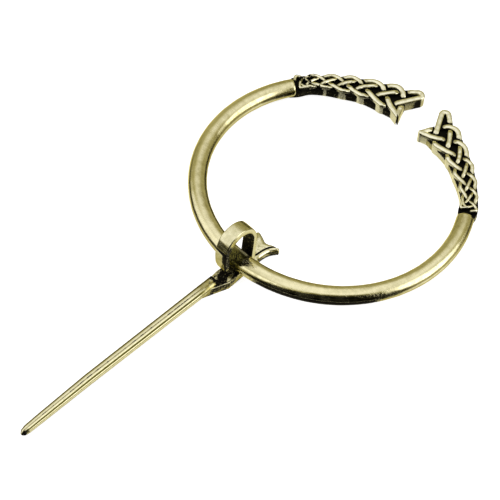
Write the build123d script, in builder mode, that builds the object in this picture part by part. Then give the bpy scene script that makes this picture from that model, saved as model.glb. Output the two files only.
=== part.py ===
from build123d import *
from math import asin, atan2, cos, degrees, hypot, radians, sin
import os

# Penannular brooch in cast brass, in millimetres. It lies on a surface at z = 0.
# The origin is on that surface, straight below the rod where the pin's head hangs on the ring.
# +Y runs from the head across the ring, and the pin's shank runs towards -Y.

# The ring's hoop, a rod that thins a little towards the two terminals
ring_radius = 28.0
rod_d_back = 4.15
rod_d_end = 3.75
rod_shoulder = 0.7
gap_skew_deg = 2.4

# The two terminals, flat castings that widen towards the gap
terminal_length = 27.2
terminal_thick = 2.8
end_half_width = 4.65
gap_width = 5.05
relief_height = 0.8
floor_margin = 0.2
floor_root_half_width = 1.45
floor_overlap = 0.6

# The plait of four strands on each terminal
strand_wide = 1.15
strand_narrow = 0.62
strand_root = 0.4
seam = 0.12
corner_round = 0.6

# The pin: plate, fishtail, loop and shank, one casting
plate_thick = 2.1
plate_half_width = 1.95
plate_root_at = 10.0
plate_root_width = 1.2
neck_half_width = 1.6
neck_at = 3.6
tail_half_width = 3.2
tail_at = 9.7
tail_shift = 0.3
rod_clearance = 0.15

loop_width = 3.05
loop_wall = 1.65
loop_height = 11.5
loop_reach = 5.6
loop_shift = 0.1

shank_width = 2.45
shank_height = 2.3
shank_length = 60.5
shank_shift = 0.65
shank_lift = 0.5
shank_taper = 0.2
step_at = 6.0
slim_at = 42.0
tip_width = 1.95
shank_round = 0.42

# How the brooch lies: the plate lifts the rod, and the terminals touch the surface
rod_z = plate_thick + rod_clearance + rod_d_back / 2
reach = hypot(ring_radius + end_half_width, gap_width / 2) + ring_radius
half_thick = terminal_thick / 2
tilt_deg = degrees(asin(rod_z / hypot(reach, half_thick)) - atan2(half_thick, reach))
ring_centre = Vector(0, ring_radius * cos(radians(tilt_deg)), rod_z - ring_radius * sin(radians(tilt_deg)))
ring_normal = Vector(0, sin(radians(tilt_deg)), cos(radians(tilt_deg)))
ring_plane = Plane(origin=ring_centre, x_dir=(1, 0, 0), z_dir=ring_normal)

gap_axis_deg = 90 + gap_skew_deg
gap_half_deg = degrees(asin(gap_width / 2 / (ring_radius + end_half_width)))
terminal_deg = degrees(terminal_length / ring_radius)

# Rows of the plait, from the gap to the hoop. middle: where the middle strands cross, as a share of the
# terminal's length. outer, inner: how far an edge strand swings out, as shares of the end's half width,
# and outer_at, inner_at: where along the length it does.
plait = [
    {"middle": 0.097, "outer_at": 0.038, "outer": 0.80, "inner_at": 0.058, "inner": 0.86},
    {"middle": 0.251, "outer_at": 0.203, "outer": 0.62, "inner_at": 0.244, "inner": 0.67},
    {"middle": 0.428, "outer_at": 0.365, "outer": 0.46, "inner_at": 0.430, "inner": 0.51},
    {"middle": 0.575, "outer_at": 0.527, "outer": 0.40, "inner_at": 0.588, "inner": 0.46},
    {"middle": 0.718, "outer_at": 0.677, "outer": 0.37, "inner_at": 0.733, "inner": 0.33},
    {"middle": 0.850, "outer_at": 0.813, "outer": 0.38, "inner_at": 0.852, "inner": 0.25},
    {"middle": 0.928, "outer_at": 0.939, "outer": 0.42, "inner_at": 0.946, "inner": 0.31},
]
last = len(plait) - 1
side_crossing = 0.68

# The arch in which a strand turns at the outer corner of the gap, by two corners, and the notch beside it
arch = [{"along": 0.010, "across": 0.75}, {"along": 0.042, "across": 0.935}]
notch_at = 0.080

# Half of the fishtail's outline, from the neck to the notch in its end. along: as a share of its reach.
# across: as a share of its half width.
fishtail = [
    {"along": 0.59, "across": 0.61},
    {"along": 0.76, "across": 0.70},
    {"along": 0.90, "across": 0.93},
    {"along": 0.96, "across": 1.00},
    {"along": 1.00, "across": 0.84},
    {"along": 0.95, "across": 0.45},
    {"along": 0.90, "across": 0.00},
]

# The loop's band from its foot to its free end. across: towards the ring's middle, as a share of the
# reach. up: above the rod's centre, as a share of the height. wall: as a share of the thickest wall.
loop = [
    {"across": 0.53, "up": -0.25, "wall": 0.79},
    {"across": 0.53, "up": 0.06, "wall": 0.67},
    {"across": 0.56, "up": 0.45, "wall": 0.58},
    {"across": 0.53, "up": 0.62, "wall": 0.58},
    {"across": 0.36, "up": 0.79, "wall": 0.67},
    {"across": 0.11, "up": 0.89, "wall": 0.85},
    {"across": -0.23, "up": 0.93, "wall": 1.00},
    {"across": -0.58, "up": 0.87, "wall": 1.10},
    {"across": -0.78, "up": 0.75, "wall": 0.90},
    {"across": -0.88, "up": 0.62, "wall": 0.76},
    {"across": -0.88, "up": 0.45, "wall": 0.76},
    {"across": -0.85, "up": 0.28, "wall": 0.73},
    {"across": -0.80, "up": 0.15, "wall": 0.61},
]

# The shank's blunt point. back: before the end, and size: both as shares of the tip's width. lift: as a
# share of the shank's lift.
tip = [
    {"back": 2.30, "size": 1.00, "lift": 0.2},
    {"back": 0.75, "size": 0.93, "lift": 0.0},
    {"back": 0.25, "size": 0.72, "lift": 0.2},
    {"back": 0.00, "size": 0.38, "lift": 0.6},
]


def place(along, across, side):
    """Point of a terminal on the ring's plane: a share of its length, and a distance out from the rod."""
    turn = radians(gap_axis_deg + side * (gap_half_deg + along * terminal_deg))
    radius = ring_radius + across
    return Vector(radius * cos(turn), radius * sin(turn))


def strand_width(row):
    """The strands thin evenly from the gap to the hoop."""
    return strand_wide + (strand_narrow - strand_wide) * plait[row]["middle"]


def pull_back(end, towards, row):
    """The end of a strand, a seam short of the one that crosses over it there."""
    return end + (towards - end).normalized() * (strand_width(row) / 2 + seam)


def swing(row, out):
    """How far an edge strand swings out, negative on the inner edge."""
    return out * plait[row]["outer" if out > 0 else "inner"] * end_half_width


def swing_at(row, out):
    """Share along the terminal where it does."""
    return plait[row]["outer_at" if out > 0 else "inner_at"]


def edge(row, out, side):
    """Where an edge strand swings furthest out."""
    return place(swing_at(row, out), swing(row, out), side)


def middle(row, side):
    """Where the two middle strands cross."""
    return place(plait[row]["middle"], 0, side)


def flank(row, out, side):
    """Where an edge strand crosses a middle one, between two rows."""
    along = (plait[row]["middle"] + swing_at(row + 1, out)) / 2
    return place(along, side_crossing * (swing(row, out) + swing(row + 1, out)) / 2, side)


def outer_arc(row, side):
    """Centre line of an edge strand on the outer side, from a middle crossing to the next edge strand."""
    middle_end = pull_back(middle(row, side), flank(row, 1, side), row)
    swing_out = edge(row + 1, 1, side)
    if row + 1 == last:
        return [middle_end, flank(row, 1, side), swing_out]
    return [middle_end, flank(row, 1, side), swing_out, pull_back(flank(row + 1, 1, side), swing_out, row)]


def inner_arc(row, side):
    """The same on the inner side. The first one starts at the tip."""
    swing_out = edge(row, -1, side)
    middle_end = pull_back(middle(row + 1, side), flank(row, -1, side), row)
    if row == 0:
        return [swing_out, flank(row, -1, side), middle_end]
    start = pull_back(flank(row - 1, -1, side), swing_out, row)
    return [start, swing_out, flank(row, -1, side), middle_end]


def middle_bar(row, side):
    """Centre line of a strand across the middle, between the two edge strands that cover its ends."""
    centre = middle(row, side)
    start = pull_back(flank(row - 1, 1, side), centre, row)
    return [start, centre, pull_back(flank(row, -1, side), centre, row)]


def corner_strands(side):
    """Centre lines with sharp turns: the arch at the outer corner, the gap's edge, and the last bar."""
    centre = middle(0, side)
    turns = [place(point["along"], point["across"] * end_half_width, side) for point in arch]
    tip_point = edge(0, -1, side)
    arch_end = pull_back(flank(0, 1, side), turns[-1], 0)
    arch_line = [pull_back(flank(0, -1, side), centre, 0), centre] + turns + [arch_end]
    gap_line = [tip_point, pull_back(centre, tip_point, 0)]
    bar_start = pull_back(flank(last - 1, 1, side), middle(last, side), last)
    bar_line = [bar_start, middle(last, side), edge(last, -1, side), edge(last - 1, -1, side)]
    return arch_line, gap_line, bar_line


def floor_side(out, side):
    """Edge of the floor under the strands, from the gap to past the hoop's shoulder."""
    points = [place(swing_at(0, out), swing(0, out) - out * floor_margin, side)]
    for row in range(1, last + 1):
        points.append(place(swing_at(row, out), swing(row, out) + out * floor_margin, side))
    points.append(place(1 + floor_overlap / terminal_length, out * floor_root_half_width, side))
    return points


def strand_line(points, bend):
    """Line of a strand, smooth, or with round corners where a bend radius is given."""
    if len(points) == 2:
        return Line(*points)
    if bend:
        return FilletPolyline(*points, radius=bend)
    return Spline(*points)


def tail_point(row, way):
    """Point of the fishtail's outline, on the near side or the far one."""
    return Vector(way * row["across"] * tail_half_width - tail_shift, row["along"] * tail_at)


def loop_edge(way):
    """Edge of the loop's band seen from the side, half a wall to one side of its middle line."""
    line = [Vector(row["across"] * loop_reach, rod_z + row["up"] * loop_height) for row in loop]
    points = []
    for here, row in enumerate(loop):
        ahead = line[min(here + 1, len(line) - 1)] - line[max(here - 1, 0)]
        beside = Vector(-ahead.Y, ahead.X).normalized()
        points.append(line[here] + beside * way * row["wall"] * loop_wall / 2)
    return points


def hoop_section(along_turn, diameter):
    """Plane and radius of the rod at a turn round the ring's centre."""
    turn = radians(along_turn)
    spot = ring_plane.from_local_coords(Vector(ring_radius * cos(turn), ring_radius * sin(turn), 0))
    ahead = ring_plane.from_local_coords(Vector(-sin(turn), cos(turn), 0)) - ring_plane.origin
    return Plane(origin=spot, x_dir=ring_normal, z_dir=ahead), diameter / 2


# The ring
hoop_half_deg = 180 - gap_half_deg - terminal_deg
back_deg = gap_axis_deg + 180
hoop_start = back_deg - hoop_half_deg
hoop_stop = back_deg + hoop_half_deg
half_diameter = (rod_d_back + rod_d_end) / 2

with BuildPart() as ring:
    with BuildLine(ring_plane) as hoop_line:
        CenterArc((0, 0), ring_radius, hoop_start, 2 * hoop_half_deg)
    hoop_sizes = (rod_d_end, half_diameter, rod_d_back, half_diameter, rod_d_end)
    for station, size in enumerate(hoop_sizes):
        along_hoop = station / (len(hoop_sizes) - 1)
        section_plane, section_radius = hoop_section(hoop_start + along_hoop * 2 * hoop_half_deg, size)
        with BuildSketch(section_plane):
            Circle(section_radius)
    sweep(path=hoop_line.line, multisection=True)

    # Each end of the rod is a rounded shoulder
    for turn, way in ((hoop_start, -1), (hoop_stop, 1)):
        section_plane, section_radius = hoop_section(turn, rod_d_end)
        with BuildSketch(section_plane):
            Circle(section_radius)
        cap = extrude(amount=way * (rod_shoulder + seam))
        rim = cap.edges().filter_by(GeomType.CIRCLE).sort_by_distance(section_plane.origin)[-1]
        fillet(ring.edges().filter_by(GeomType.CIRCLE).sort_by_distance(rim.center())[0], rod_shoulder)

    for side in (1, -1):
        # The floor of the relief
        with BuildSketch(ring_plane.offset(-half_thick)):
            with BuildLine():
                outer = floor_side(1, side)
                inner = floor_side(-1, side)
                Spline(*outer)
                Line(outer[-1], inner[-1])
                Spline(*inner)
                Polyline(inner[0], place(notch_at, 0, side), outer[0])
            make_face()
        extrude(amount=terminal_thick - relief_height)

        # The strands: those on the edge run down the side, and the others stand on the floor
        arch_line, gap_line, bar_line = corner_strands(side)
        edge_lines = [(outer_arc(row, side), row, None) for row in range(last)]
        edge_lines += [(inner_arc(row, side), row, None) for row in range(last)]
        edge_lines += [(arch_line, 0, corner_round), (gap_line, 0, None)]
        with BuildSketch(ring_plane.offset(-half_thick)):
            for points, row, bend in edge_lines:
                with BuildLine():
                    strand_line(points, bend)
                trace(line_width=strand_width(row))
        extrude(amount=terminal_thick)
        middle_lines = [(middle_bar(row, side), row, None) for row in range(1, last)]
        middle_lines.append((bar_line, last, strand_narrow))
        with BuildSketch(ring_plane.offset(half_thick - relief_height - strand_root)):
            for points, row, bend in middle_lines:
                with BuildLine():
                    strand_line(points, bend)
                trace(line_width=strand_width(row))
        extrude(amount=relief_height + strand_root)

ring.part.label = "ring"

# The pin
tail_outline = [tail_point(row, 1) for row in fishtail] + [tail_point(row, -1) for row in fishtail[-2::-1]]
neck_near = Vector(neck_half_width, neck_at)
neck_far = Vector(-neck_half_width, neck_at)
plate_near = Vector(plate_half_width, -rod_d_back)
plate_far = Vector(-plate_half_width, -rod_d_back)
root_near = Vector(plate_root_width / 2 - shank_shift, -plate_root_at)
root_far = Vector(-plate_root_width / 2 - shank_shift, -plate_root_at)

with BuildPart() as pin:
    # Plate and fishtail, seen from above
    with BuildSketch():
        with BuildLine():
            Polyline(root_near, plate_near, neck_near)
            Spline(neck_near, *tail_outline, neck_far)
            Polyline(neck_far, plate_far, root_far, root_near)
        make_face()
    extrude(amount=plate_thick)

    # The loop, a band that rises from the plate, passes over the rod and hangs down outside it
    with BuildSketch(Plane.YZ.offset(loop_shift - loop_width / 2)):
        with BuildLine():
            inner_edge = loop_edge(1)
            outer_edge = loop_edge(-1)
            Spline(*inner_edge)
            Line(inner_edge[-1], outer_edge[-1])
            Spline(*outer_edge)
            Line(outer_edge[0], inner_edge[0])
        make_face()
    extrude(amount=loop_width)

    # The shank, lofted from the plate's step to a blunt point
    stations = [
        (step_at, shank_width, shank_height, shank_lift),
        (plate_root_at, shank_width, shank_height, shank_lift),
        (slim_at, shank_width - shank_taper, shank_height, shank_lift),
    ]
    for row in tip:
        size = row["size"] * tip_width
        stations.append((shank_length - row["back"] * tip_width, size, size, row["lift"] * shank_lift))
    for at, width, height, lift in stations:
        with BuildSketch(Plane.XZ.offset(at)):
            with Locations((-shank_shift, lift + height / 2)):
                RectangleRounded(width, height, shank_round * height)
    loft(ruled=True)

pin.part.label = "pin"

os.makedirs("parts", exist_ok=True)
for piece in (ring, pin):
    export_step(piece.part, f"parts/{piece.part.label}.step")
    print(piece.part.label, "solids", len(piece.part.solids()), "volume", round(piece.part.volume, 1))
print("ring tilt", round(tilt_deg, 2), "rod centre above the surface", round(rod_z, 3))
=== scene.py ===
# %% [markdown]
# # A penannular brooch in antiqued brass
# The real brooch is two castings. One is an open ring: a round rod with a flat terminal at each end, and on
# each terminal a raised plait of four strands. The other is the pin, which hangs on the rod by a loop. Both
# were dipped in a black patina and then rubbed, so the high metal is bright and the low places stay black.
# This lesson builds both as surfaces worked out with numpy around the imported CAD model, which stays as it is.

# %% Frame and imports
import bpy
import numpy as np
from mathutils import Matrix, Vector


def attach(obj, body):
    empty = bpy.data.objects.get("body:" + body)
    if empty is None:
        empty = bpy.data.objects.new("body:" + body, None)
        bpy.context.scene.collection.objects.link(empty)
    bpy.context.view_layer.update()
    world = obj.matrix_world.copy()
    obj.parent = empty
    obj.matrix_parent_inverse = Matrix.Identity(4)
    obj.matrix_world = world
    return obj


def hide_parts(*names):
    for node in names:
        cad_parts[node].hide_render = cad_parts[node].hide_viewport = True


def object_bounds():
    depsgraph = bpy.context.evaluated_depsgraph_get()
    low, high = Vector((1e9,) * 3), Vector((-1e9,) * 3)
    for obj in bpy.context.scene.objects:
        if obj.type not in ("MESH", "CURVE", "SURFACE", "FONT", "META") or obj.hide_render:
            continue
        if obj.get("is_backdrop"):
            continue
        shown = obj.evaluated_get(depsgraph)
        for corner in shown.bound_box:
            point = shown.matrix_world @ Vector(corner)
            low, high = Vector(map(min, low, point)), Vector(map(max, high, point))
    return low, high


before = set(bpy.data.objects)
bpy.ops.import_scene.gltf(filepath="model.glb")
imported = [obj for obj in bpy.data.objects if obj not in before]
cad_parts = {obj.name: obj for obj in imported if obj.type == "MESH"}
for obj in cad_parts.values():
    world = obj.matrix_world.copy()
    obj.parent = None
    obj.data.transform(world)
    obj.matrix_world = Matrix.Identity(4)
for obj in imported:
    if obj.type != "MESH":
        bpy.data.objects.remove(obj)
cad_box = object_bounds()

# %% [markdown]
# ## Sizes
# The sizes are the brooch's own, in millimetres, the same that the construction uses. A mesh in Blender is in
# metres, so each finished piece is scaled once, as it is made. Keeping the sizes here as named values means
# that a strand or a fillet can be changed in one place.

# %% Helper for tables


def records(columns, *rows):
    """Rows of a table, each as a dictionary from the columns' names to its values."""
    return [dict(zip(columns.split(), row)) for row in rows]


print("a table of two rows:", records("at width", (1, 2), (3, 4)))

# %% Sizes of the ring and its terminals
MM = 0.001
ring_radius = 28.0
rod_d_back = 4.15
rod_d_end = 3.75
rod_shoulder = 0.7
gap_skew_deg = 2.4
terminal_length = 27.2
terminal_thick = 2.8
end_half_width = 4.65
gap_width = 5.05
relief_height = 0.8
floor_margin = 0.2
wall_margin = 0.33
floor_root_half_width = 1.45
strand_wide = 1.27
strand_narrow = 0.56
strand_draft = -0.04
half_thick = terminal_thick / 2
print("the ring is", round(2 * ring_radius + rod_d_back, 2), "mm across")

# %% Sizes of the pin
plate_thick = 2.1
plate_half_width = 1.95
plate_root_at = 10.0
plate_root_width = 1.2
neck_half_width = 1.6
neck_at = 3.6
tail_half_width = 3.2
tail_at = 9.7
tail_shift = 0.3
rod_clearance = 0.15
loop_width = 3.05
loop_wall = 1.65
loop_height = 11.5
loop_reach = 5.6
loop_shift = 0.1
shank_width = 2.45
shank_height = 2.3
shank_length = 60.5
shank_shift = 0.65
shank_lift = 0.5
shank_taper = 0.2
step_at = 6.0
slim_at = 42.0
tip_width = 1.95
print("the pin is", round(tail_at + shank_length, 1), "mm long")

# %% [markdown]
# ## How the brooch lies
# The pin's plate lies under the rod and lifts it, and the terminals on the far side touch the surface, so the
# ring leans a little. The lean follows from those sizes: it is the angle at which a disc, lifted at one side
# by the plate, touches the surface with the lower edge of its terminals.

# %% The ring's plane
rod_z = plate_thick + rod_clearance + rod_d_back / 2
reach = np.hypot(ring_radius + end_half_width, gap_width / 2) + ring_radius
lean = np.arcsin(rod_z / np.hypot(reach, half_thick)) - np.arctan2(half_thick, reach)
ring_normal = np.array([0, np.sin(lean), np.cos(lean)])
ring_x = np.array([1.0, 0, 0])
ring_y = np.cross(ring_normal, ring_x)
ring_centre = np.array([0, ring_radius * np.cos(lean), rod_z - ring_radius * np.sin(lean)])
gap_axis = np.radians(90 + gap_skew_deg)
gap_half = np.arcsin(gap_width / 2 / (ring_radius + end_half_width))
terminal_turn = terminal_length / ring_radius
print("the ring leans", round(np.degrees(lean), 2), "degrees")


def place(along, across, side):
    """Point of a terminal on the ring's plane: its turn grows with the share along, and its radius is the
    ring's radius plus across."""
    turn = gap_axis + side * (gap_half + np.asarray(along) * terminal_turn)
    radius = ring_radius + np.asarray(across)
    return np.stack(np.broadcast_arrays(radius * np.cos(turn), radius * np.sin(turn)), axis=-1)


def in_space(flat, height):
    """Point in space: the ring's centre, plus two steps in its plane and one along its normal."""
    height = np.asarray(height)[..., None]
    return ring_centre + flat[..., :1] * ring_x + flat[..., 1:] * ring_y + height * ring_normal


# %% [markdown]
# ## Curves and surfaces
# Every part of the brooch is a band: a section carried along a line. So a handful of helpers is enough. Two
# of them make a line, one bends smoothly through its points and one keeps straight legs with round corners.
# One makes the section, a flat-topped bar with round edges. The last turns rings of points into a mesh.
# All of it is done on whole arrays, which is quick and keeps each formula readable.

# %% Soft steps


def smooth(x, low, high):
    """0 up to low, 1 from high on, and between them three times the share squared less twice its cube."""
    share = np.clip((np.asarray(x) - low) / (high - low), 0, 1)
    return share * share * (3 - 2 * share)


def bell(x, middle, width):
    """Bell curve: e to the power of minus the squared distance from the middle, counted in widths."""
    return np.exp(-(((x - middle) / width) ** 2))


def highest(*masks):
    """The highest of several masks at each point. Each may be a row, a column or a whole grid."""
    return np.maximum.reduce(np.broadcast_arrays(*masks))


def unevenness(seed, *coordinates):
    """Slight irregularity of a casting: six sine waves of random direction and start, added up and halved
    twice. Coordinates are given in wavelengths."""
    rng = np.random.default_rng(seed)
    total = 0
    for _ in range(6):
        phase = rng.uniform(0, 2 * np.pi)
        for x in coordinates:
            phase = phase + 2 * np.pi * x * rng.normal()
        total = total + np.sin(phase)
    return total / 4


print("a soft step from 0 to 4:", smooth(np.arange(5), 0, 4).round(2).tolist())

# %% Curves
bend_steps, corner_turn_steps = 24, 16


def length_so_far(line):
    """Length of a line from its start to each of its points, the sum of the steps between them."""
    return np.concatenate([[0], np.cumsum(np.linalg.norm(np.diff(line, axis=0), axis=1))])


def resample(points, count):
    """Evenly spaced points on a line, read off at equal steps of the length so far."""
    length = length_so_far(points)
    at = np.linspace(0, length[-1], count)
    return np.stack([np.interp(at, length, column) for column in points.T], axis=1)


def bend_through(points, count):
    """Smooth line: cubic spans whose slope at a point is half the step between the points beside it."""
    ends = np.vstack([2 * points[0] - points[1], points, 2 * points[-1] - points[-2]])
    t = np.linspace(0, 1, bend_steps)[:, None]
    spans = [
        0.5 * (2 * b + (c - a) * t + (2 * a - 5 * b + 4 * c - d) * t**2 + (3 * b - a - 3 * c + d) * t**3)
        for a, b, c, d in zip(ends, ends[1:], ends[2:], ends[3:])
    ]
    return resample(np.vstack(spans), count)


def round_corners(points, reaches, count):
    """Straight legs with round corners: a parabola that starts and ends a reach from each corner, or half a
    leg where the leg is short."""
    t = np.linspace(0, 1, corner_turn_steps)[:, None]
    spans = [points[:1]]
    for before, corner, after, reach_out in zip(points, points[1:], points[2:], reaches):
        legs = (before - corner, after - corner)
        start, stop = (corner + leg * min(0.5, reach_out / np.linalg.norm(leg)) for leg in legs)
        spans.append((1 - t) ** 2 * start + 2 * t * (1 - t) * corner + t**2 * stop)
    spans.append(points[-1:])
    return resample(np.vstack(spans), count)


def directions(line):
    """Unit vectors along a line, from the step between the points beside each point."""
    steps = np.gradient(line, axis=0)
    return steps / np.linalg.norm(steps, axis=1, keepdims=True)


print("a bend through three points:", bend_through(np.array([[0, 0], [1, 1], [2, 0]]), 3).round(2).tolist())

# %% Section of a bar
corner_steps = 4


def half_profile(places):
    """Half of a bar's outline from wall to wall as four rows: the share of the flat part, the share of the
    corner's width, how far round the corner a point is, and whether it lies on the wall."""
    turns = np.linspace(0, np.pi / 2, corner_steps + 1)
    flat = np.concatenate([[-1], -np.ones(corner_steps + 1), places, np.ones(corner_steps + 1), [1]])
    corner = np.concatenate([[-1], -np.cos(turns), 0 * places, np.cos(turns)[::-1], [1]])
    rise = np.concatenate([[0], np.sin(turns), 0 * places + 1, np.sin(turns)[::-1], [0]])
    wall = np.concatenate([[1], np.zeros(len(flat) - 2), [1]])
    return flat, corner, rise, wall


bar_profile = half_profile(np.array([-0.93, -0.6, -0.2, 0.2, 0.6, 0.93]))
wide_profile = half_profile(np.linspace(-0.97, 0.97, 53))


def half_bar(profile, half_width, wall_half_width, level, inside, rounding):
    """Upper or lower half of a bar's section. Across, a point is a share of the flat part plus a share of the
    rounding. Its height is the level, less the rounding towards the inside, and halfway down on the wall."""
    flat, corner, rise, wall = profile
    across = flat * (half_width - rounding) + corner * rounding
    across = across + wall * corner * (wall_half_width - half_width)
    height = level + (inside - level) * wall
    height = height + np.sign(inside - level) * rounding * (1 - rise) * (1 - wall)
    return across, height


def bar_section(half_width, top, bottom, rounding, base_rounding, crown, draft=0.0, profile=bar_profile):
    """Closed section of a bar at every station: its top from left to right, swollen by the crown, then its
    base from right to left. The base is wider than the top by the draft on each side."""
    sizes = np.broadcast_arrays(half_width, top, bottom)
    half_width, top, bottom = (np.atleast_1d(x)[:, None] for x in sizes)
    base = half_width + draft
    above, below = 0.6 * top + 0.4 * bottom, 0.4 * top + 0.6 * bottom
    over, high = half_bar(profile, half_width, half_width + 0.4 * draft, top, above, rounding)
    under, low = half_bar(profile, base, half_width + 0.6 * draft, bottom, below, base_rounding)
    high = high + crown * (1 - (over / half_width) ** 2)
    return np.hstack([over, under[:, ::-1]]), np.hstack([high, low[:, ::-1]])


print("points in a bar's section:", 2 * len(bar_profile[0]))

# %% Mesh from rings
sharp_edge_deg = 42


def ring_faces(count, around):
    """Faces between each ring and the next, and at both ends a strip from each point to the one facing it."""
    i, j = np.meshgrid(np.arange(count - 1), np.arange(around), indexing="ij")
    beside = (j + 1) % around
    here, ahead = i * around, (i + 1) * around
    sides = np.stack([here + j, here + beside, ahead + beside, ahead + j], axis=-1)
    k = np.arange(around // 2 - 1)
    strip = np.stack([k, around - 1 - k, around - 2 - k, k + 1], axis=-1)
    return np.vstack([sides.reshape(-1, 4), strip, strip[:, ::-1] + (count - 1) * around])


def turned_outwards(points, faces):
    """The faces, reversed if the volume in them, a sum of products of their corners, is negative."""
    a, b, c, d = (points[faces[:, k]] for k in range(4))
    volume = np.sum(a * np.cross(b, c)) + np.sum(a * np.cross(c, d))
    return faces if volume > 0 else faces[:, ::-1]


def new_object(name, data):
    """New object with a mesh or a camera as its data, linked into the scene."""
    made = bpy.data.objects.new(name, data)
    bpy.context.scene.collection.objects.link(made)
    return made


def add_piece(name, shells, node, material):
    """One object from closed shells. A shell is its rings of points, in millimetres, and its masks, which
    become attributes of the mesh. The object hangs on the body that carries the node's name, and the node's
    part is hidden."""
    body, slot = node, node + "_brass"
    points, faces, masks, start = [], [], {}, 0
    for rings, shell_masks in shells:
        flat = rings.reshape(-1, 3)
        points.append(flat)
        faces.append(turned_outwards(flat, ring_faces(*rings.shape[:2])) + start)
        start += len(flat)
        for key, values in shell_masks.items():
            masks.setdefault(key, []).append(np.broadcast_to(values, rings.shape[:2]).ravel())
    points, faces = np.vstack(points), np.vstack(faces)
    mesh = bpy.data.meshes.new(name)
    mesh.from_pydata((points * MM).tolist(), [], faces.tolist())
    for key, values in masks.items():
        attribute = mesh.attributes.new(key, "FLOAT", "POINT")
        attribute.data.foreach_set("value", np.concatenate(values).astype(np.float32))
    mesh.shade_smooth()
    mesh.set_sharp_from_angle(angle=np.radians(sharp_edge_deg))
    mesh.materials.append(material)
    piece = new_object(name, mesh)
    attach(piece, body)
    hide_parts(node)
    print(name, "has", len(shells), "shells and", len(faces), "faces")


print("faces of a tube of three rings of four points:", len(ring_faces(3, 4)))


# %% [markdown]
# ## Camera
# The brooch was seen from far away through a long lens, about 53 degrees above the surface and from its
# front right. The camera is made first. Its place is its
# distance back along the view from the point that it looks at.

# %% Camera
view_azimuth, view_elevation, view_roll = np.radians([40.65, 53.12, 5.02])
look_at = np.array([-2.05, 5.98, 0.0])
view_distance = 1200.0
view_lens_mm = 421.2
forward = np.array([
    -np.sin(view_azimuth) * np.cos(view_elevation),
    np.cos(view_azimuth) * np.cos(view_elevation),
    -np.sin(view_elevation),
])
level_right = np.array([np.cos(view_azimuth), np.sin(view_azimuth), 0])
level_up = np.cross(level_right, forward)
view_right = np.cos(view_roll) * level_right + np.sin(view_roll) * level_up
view_up = np.cross(view_right, forward)
camera = new_object("camera", bpy.data.cameras.new("camera"))
camera.data.lens = view_lens_mm
camera.data.clip_end = 10
pose = np.eye(4)
pose[:3, 0], pose[:3, 1], pose[:3, 2] = view_right, view_up, -forward
pose[:3, 3] = (look_at - view_distance * forward) * MM
camera.matrix_world = Matrix(pose.tolist())
bpy.context.scene.camera = camera
bpy.context.scene.view_settings.view_transform = "Standard"
print("camera stands at", (pose[:3, 3]).round(3).tolist(), "metres")

# %% [markdown]
# ## Surface and light
# Polished metal shows what stands round it more than its own colour. A jeweller's photograph is taken on a
# light table, with a large soft box on the right, smaller ones on the left and in front, a bright ceiling,
# and a dark room behind the camera that draws the black lines along every rod. Two faint patches near the
# floor light the sides that face down. The room is one world shader: a direction is compared with the middle
# of each patch, and the brightness falls off with the angle between them. Its bright parts are a little cool
# and its dim parts warm, as wood and walls are beside daylight lamps. The table glows a little, as a light
# table does, and mirrors see the room in its place.

# %% Helper for node trees


class Nodes:
    """Short way to write a node tree. Each call of add makes a node, sets its inputs to values or to other
    nodes' outputs, and gives back its output."""

    def __init__(self, tree):
        self.tree = tree

    def wire(self, node, inputs):
        for key, value in inputs.items():
            if isinstance(value, bpy.types.NodeSocket):
                self.tree.links.new(value, node.inputs[key])
            else:
                node.inputs[key].default_value = value

    def add(self, kind, inputs=None, output=0, **settings):
        node = self.tree.nodes.new(kind)
        for key, value in settings.items():
            setattr(node, key, value)
        self.wire(node, inputs or {})
        return node.outputs[output]

    def math(self, operation, a, b=0.0, clamp=False):
        return self.add("ShaderNodeMath", {0: a, 1: b}, operation=operation, use_clamp=clamp)

    def ramp(self, value, low, high, start=0.0, stop=1.0):
        inputs = {"Value": value, "From Min": low, "From Max": high, "To Min": start, "To Max": stop}
        return self.add("ShaderNodeMapRange", inputs, interpolation_type="SMOOTHSTEP")

    def mix(self, share, a, b):
        inputs = {"Factor": share, 6: a, 7: b}
        return self.add("ShaderNodeMix", inputs, output=2, data_type="RGBA")


# %% Light table
table_half = 2.5
table_mesh = bpy.data.meshes.new("table")
table_corners = np.array([[-1, -1, 0], [1, -1, 0], [1, 1, 0], [-1, 1, 0]]) * table_half
table_mesh.from_pydata(table_corners.tolist(), [], [(0, 1, 2, 3)])
table = new_object("table", table_mesh)
table_paint = bpy.data.materials.new("light_table")
table_paint.use_nodes = True
Nodes(table_paint.node_tree).wire(table_paint.node_tree.nodes["Principled BSDF"], {
    "Base Color": (0.8, 0.8, 0.79, 1),
    "Roughness": 0.9,
    "Specular IOR Level": 0.0,
    "Emission Color": (1, 1, 0.99, 1),
    "Emission Strength": 0.8,
})
table_mesh.materials.append(table_paint)
table.visible_glossy = False
table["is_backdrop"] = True
print("table is", 2 * table_half, "metres wide")

# %% Room
patches = records(
    "kind azimuth elevation inner outer strength",
    ("soft box", 64, 19, 10, 34, 2.0),
    ("soft box", -134, 15, 12, 42, 0.70),
    ("soft box", 180, 24, 8, 20, 0.95),
    ("low light", 62, -22, 12, 40, 0.42),
    ("low light", -62, -30, 12, 36, 0.55),
    ("dark side", 133, -16, 46, 60, 0.97),
    ("dark side", 120, 32, 16, 32, 0.93),
)
far_glow, ceiling_glow, board_glow, seam_glow, backdrop_glow = 0.36, 0.98, 0.62, 0.04, 1.0
horizon, ceiling_edge, board_edge, tint_edge = (-0.10, 0.02), (0.46, 0.92), (-0.42, -0.62), (0.25, 1.0)
warm_light, cool_light = (1.0, 0.925, 0.52, 1), (1.0, 1.0, 1.16, 1)
world = bpy.data.worlds.new("studio")
bpy.context.scene.world = world
world.use_nodes = True
world.node_tree.nodes.clear()
room = Nodes(world.node_tree)
direction = room.add("ShaderNodeTexCoord", output="Generated")


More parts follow.
